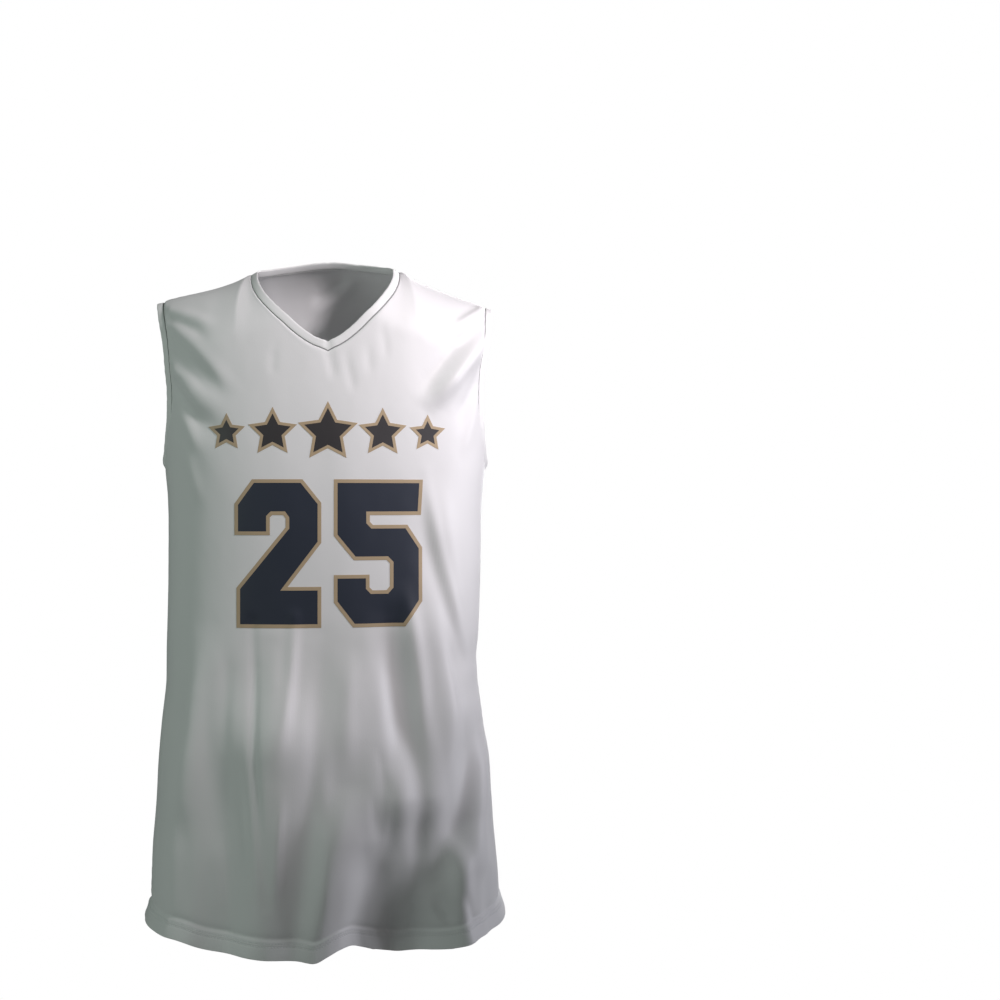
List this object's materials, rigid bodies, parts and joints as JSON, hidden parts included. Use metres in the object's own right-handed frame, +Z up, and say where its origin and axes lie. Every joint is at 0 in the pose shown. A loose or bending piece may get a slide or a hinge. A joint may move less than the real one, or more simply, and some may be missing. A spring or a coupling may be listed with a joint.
{
  "type": "volleyball jersey",
  "caption": "Sleeveless V-neck volleyball jersey, hollow as worn, with bound neck and armholes, side seams and a turned hem.",
  "frame": {"origin": "midway between the two shoulder neck points, where the wearer's shoulders hold the jersey", "axes": "+Z up the body, -Y out of the front, +X towards the right of someone who faces the front"},
  "size_m": [0.3851, 0.2548, 0.7389],
  "materials": {
    "cloth": "smooth white polyester knit with a soft satin sheen, navy number with a tan outline",
    "binding": "white folded knit strip, topstitched"
  },
  "bodies": {
    "root": {"front_panel": "cloth", "back_panel": "cloth", "neck_binding": "binding", "armhole_binding_left": "binding", "armhole_binding_right": "binding"}
  },
  "joints": []
}
